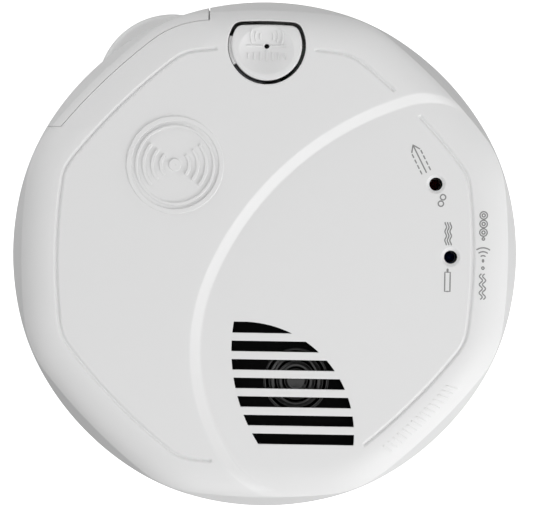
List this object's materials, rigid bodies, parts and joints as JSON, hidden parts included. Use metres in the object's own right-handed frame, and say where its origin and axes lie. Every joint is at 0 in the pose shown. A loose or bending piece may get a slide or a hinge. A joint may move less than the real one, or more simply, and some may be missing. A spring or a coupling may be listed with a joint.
{
  "type": "smoke and carbon monoxide alarm",
  "caption": "Round white smoke and carbon monoxide alarm with a twist-on bracket, test button, sounder grille and slide-out battery drawer.",
  "frame": {"origin": "middle of the bracket's back face, in the mounting plane, on the alarm's round axis", "axes": "+Z from the ceiling or wall out into the room, +Y towards the test button, +X to the right seen from the room"},
  "size_m": [0.142, 0.142, 0.05],
  "materials": {
    "bracket_plastic": "fine matte moulded",
    "housing_plastic": "fine matte moulded",
    "cover_plastic": "fine spark texture",
    "button_plastic": "fine spark texture",
    "drawer_plastic": "fine spark texture",
    "battery_steel": "satin printed sleeve",
    "battery_board": "fibre board",
    "terminal_plate": "nickel plated",
    "spring_brass": "bright strip",
    "board_green": "solder mask",
    "black_plastic": "light-absorbing matte",
    "screen_steel": "woven mesh",
    "clear_lamp": "clear moulded",
    "dark_lamp": "dark moulded",
    "sensor_steel": "drawn can",
    "horn_metal": "turned rings",
    "horn_ceramic": "silvered ceramic",
    "red_lamp": "tinted moulded",
    "blue_lamp": "tinted moulded",
    "chip_black": "epoxy",
    "coil_ferrite": "ferrite with wound wire",
    "capacitor_sleeve": "shrink sleeve",
    "screw_steel": "zinc plated",
    "label_paper": "blank paper",
    "printed_ink": "printed signs on the face"
  },
  "bodies": {
    "bracket": {"mounting_bracket": "bracket_plastic"},
    "alarm": {"rear_housing": "housing_plastic", "front_cover": "cover_plastic", "battery_contact_block": "housing_plastic", "battery_contacts": "spring_brass", "circuit_board": "board_green", "smoke_chamber_base": "black_plastic", "smoke_chamber_cap": "black_plastic", "insect_screen": "screen_steel", "infrared_led": "clear_lamp", "photodiode": "dark_lamp", "co_sensor": "sensor_steel", "co_sensor_filter": "black_plastic", "horn_housing": "black_plastic", "horn_disc": "horn_metal", "horn_ceramic": "horn_ceramic", "horn_contact_springs": "spring_brass", "switch_body": "black_plastic", "smoke_led": "red_lamp", "co_led": "blue_lamp", "light_shrouds": "black_plastic", "microcontroller": "chip_black", "horn_coil": "coil_ferrite", "capacitors": "capacitor_sleeve", "board_screws": "screw_steel", "housing_screws": "screw_steel", "rear_label": "label_paper"},
    "drawer": {"battery_drawer": "drawer_plastic", "battery_case": "battery_steel", "battery_top_plate": "battery_board", "battery_stud": "terminal_plate", "battery_socket": "terminal_plate"},
    "button": {"test_button": "button_plastic"},
    "plunger": {"switch_plunger": "black_plastic"}
  },
  "joints": [
    {"name": "bracket_twist", "type": "hinge", "parent": "bracket", "child": "alarm", "pos_m": [0, 0, 0], "axis": [0, 0, 1], "range_deg": [0, 14.5]},
    {"name": "battery_drawer_slide", "type": "slide", "parent": "alarm", "child": "drawer", "axis": [-0.7071, 0.7071, 0], "range_m": [0, 0.034]},
    {"name": "test_button_press", "type": "slide", "parent": "alarm", "child": "button", "axis": [0, 0, -1], "range_m": [0, 0.0008], "stiffness_N_per_m": 1500, "springref_m": -0.0004},
    {"name": "switch_press", "type": "slide", "parent": "alarm", "child": "plunger", "axis": [0, 0, -1], "range_m": [0, 0.0008]}
  ],
  "couplings": [
    {"joint": "switch_press", "follows": "test_button_press", "ratio": 1}
  ]
}
